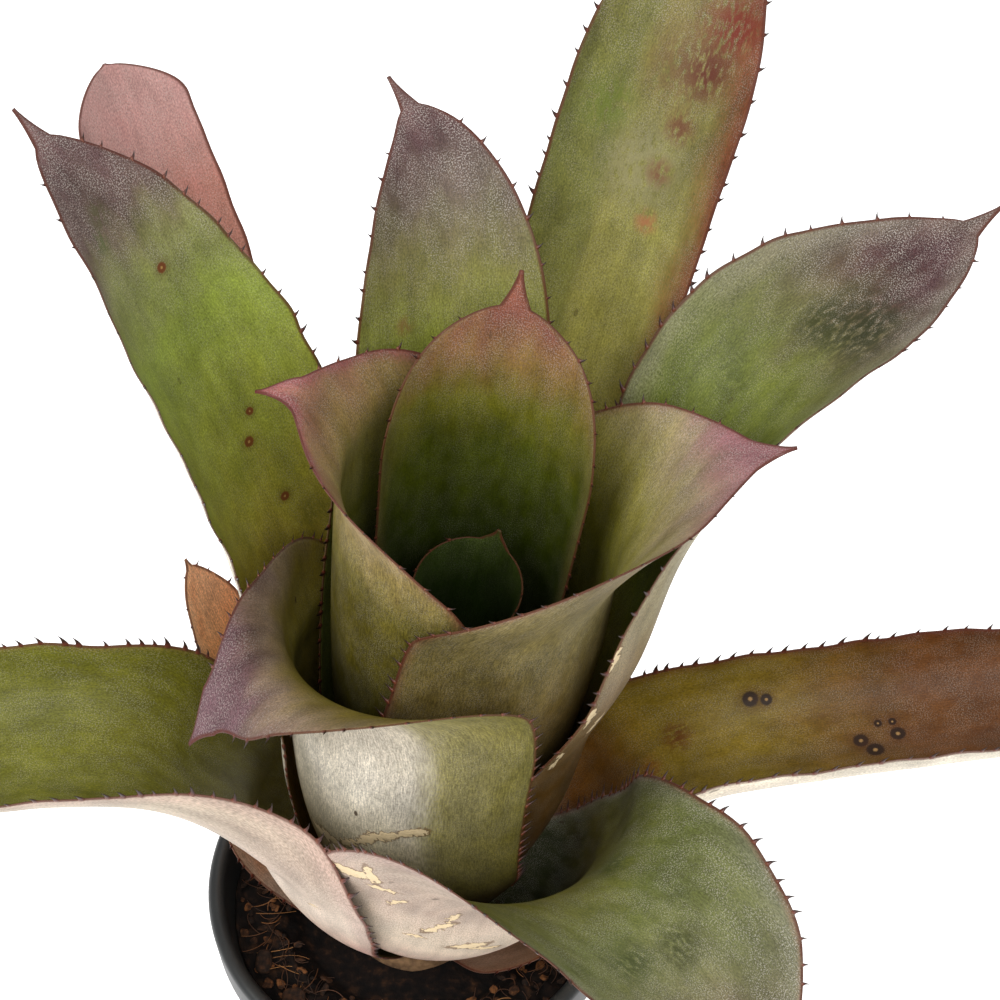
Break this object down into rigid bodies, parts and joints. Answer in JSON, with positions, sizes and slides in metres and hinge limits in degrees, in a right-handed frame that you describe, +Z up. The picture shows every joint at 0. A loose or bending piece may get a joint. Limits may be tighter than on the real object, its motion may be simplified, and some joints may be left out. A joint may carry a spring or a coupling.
{
  "type": "potted tank bromeliad",
  "caption": "Rosette of broad spiny grey-green leaves nested into a water-holding cup, growing in bark mix in a round dark nursery pot.",
  "frame": {"origin": "centre of the pot's flat underside", "axes": "+Z up; the front of the plant, where the wide lip leaf is, faces -Y; the plant leans a little towards +X"},
  "size_m": [0.4969, 0.2728, 0.4729],
  "materials": {
    "charcoal_plastic": "moulded polypropylene, matt with a soft sheen on the rim",
    "bark_mix": "damp dark bark and coir fibre",
    "stump": "dry fibrous stem",
    "leaf_green": "stiff leaf with silver-grey scurf, maroon towards the tip",
    "leaf_pink": "pale pink-beige fading leaf, matt",
    "leaf_dead": "dry papery leaf",
    "bark_chip": "rough orange-brown bark flake"
  },
  "bodies": {
    "root": {"pot": "charcoal_plastic", "potting_mix": "bark_mix", "stump": "stump", "leaf_01_heart": "leaf_green", "leaf_02_cup_back": "leaf_green", "leaf_03_cup_left": "leaf_green", "leaf_04_cup_right": "leaf_green", "leaf_05_back": "leaf_green", "leaf_06_right": "leaf_green", "leaf_07_front_lip": "leaf_green", "leaf_08_left": "leaf_green", "leaf_09_tall_back": "leaf_green", "leaf_10_front_right": "leaf_green", "leaf_11_low_left": "leaf_green", "leaf_12_low_right": "leaf_green", "leaf_13_pink_cut": "leaf_pink", "leaf_14_dead": "leaf_dead", "bark_chip_01": "bark_chip", "bark_chip_02": "bark_chip", "bark_chip_03": "bark_chip", "bark_chip_04": "bark_chip", "bark_chip_05": "bark_chip", "bark_chip_06": "bark_chip", "bark_chip_07": "bark_chip", "bark_chip_08": "bark_chip"}
  },
  "joints": []
}
